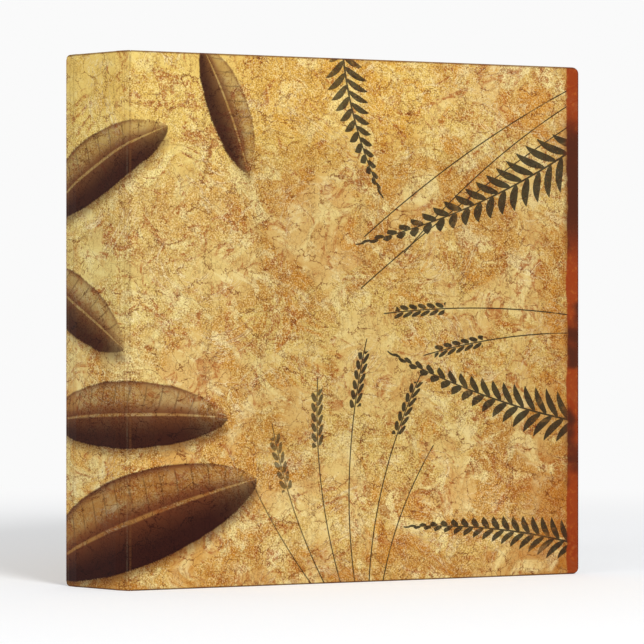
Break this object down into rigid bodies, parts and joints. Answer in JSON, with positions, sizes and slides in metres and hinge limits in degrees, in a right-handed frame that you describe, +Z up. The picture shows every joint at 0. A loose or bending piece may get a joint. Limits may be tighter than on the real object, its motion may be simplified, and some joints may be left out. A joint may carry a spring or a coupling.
{
  "type": "ring binder",
  "caption": "Hard case with a spine and two hinged covers, D rings and thumb levers on the back cover, and clear pockets inside, standing ajar.",
  "frame": {"origin": "on the floor under the middle of the whole binder's box, as it stands with its front cover ajar", "axes": "+Z up along the spine, +X from the spine towards the back cover's fore-edge, the front cover faces -Y and the back cover +Y"},
  "size_m": [0.2782, 0.1856, 0.297],
  "materials": {
    "printed_sheet": "satin laminate over a parchment print",
    "greyboard": "plain",
    "liner": "matt white",
    "clear_vinyl": "clear, slightly frosted",
    "nickel_plate": "bright nickel plate",
    "zinc_steel": "zinc plated"
  },
  "bodies": {
    "spine": {"spine_wrap": "printed_sheet", "spine_board": "greyboard", "spine_liner": "liner", "front_hinge": "printed_sheet", "back_hinge": "printed_sheet"},
    "front_cover": {"front_wrap": "printed_sheet", "front_board": "greyboard", "front_liner": "liner", "front_pocket": "clear_vinyl"},
    "back_cover": {"back_wrap": "printed_sheet", "back_board": "greyboard", "back_liner": "liner", "back_pocket": "clear_vinyl", "ring_plate": "nickel_plate", "rivet_1": "nickel_plate", "rivet_2": "nickel_plate"},
    "rings_spine_side": {"blade_spine_side": "zinc_steel", "ring_curved_1": "nickel_plate", "ring_curved_2": "nickel_plate", "ring_curved_3": "nickel_plate"},
    "rings_page_side": {"blade_page_side": "zinc_steel", "ring_straight_1": "nickel_plate", "ring_straight_2": "nickel_plate", "ring_straight_3": "nickel_plate"},
    "lever_top": {"lever_top": "nickel_plate"},
    "lever_bottom": {"lever_bottom": "nickel_plate"}
  },
  "joints": [
    {"name": "front_cover_hinge", "type": "hinge", "parent": "spine", "child": "front_cover", "pos_m": [-0.1369, 0.04325, 0.1485], "axis": [0, 0, -1], "range_deg": [-29.4, 150.6]},
    {"name": "back_cover_hinge", "type": "hinge", "parent": "spine", "child": "back_cover", "pos_m": [-0.1369, 0.09097, 0.1485], "axis": [0, 0, 1], "range_deg": [0, 180]},
    {"name": "spine_side_rings_turn", "type": "hinge", "parent": "back_cover", "child": "rings_spine_side", "pos_m": [-0.11515, 0.08452, 0.1485], "axis": [0, 0, -1], "range_deg": [0, 12]},
    {"name": "page_side_rings_turn", "type": "hinge", "parent": "back_cover", "child": "rings_page_side", "pos_m": [-0.09265, 0.08452, 0.1485], "axis": [0, 0, 1], "range_deg": [0, 12]},
    {"name": "top_lever_turn", "type": "hinge", "parent": "back_cover", "child": "lever_top", "pos_m": [-0.1039, 0.08432, 0.2815], "axis": [-1, 0, 0], "range_deg": [0, 40]},
    {"name": "bottom_lever_turn", "type": "hinge", "parent": "back_cover", "child": "lever_bottom", "pos_m": [-0.1039, 0.08432, 0.0155], "axis": [1, 0, 0], "range_deg": [0, 40]}
  ],
  "couplings": [
    {"joint": "page_side_rings_turn", "follows": "spine_side_rings_turn", "ratio": 1},
    {"joint": "top_lever_turn", "follows": "spine_side_rings_turn", "ratio": 3.3333},
    {"joint": "bottom_lever_turn", "follows": "spine_side_rings_turn", "ratio": 3.3333}
  ]
}
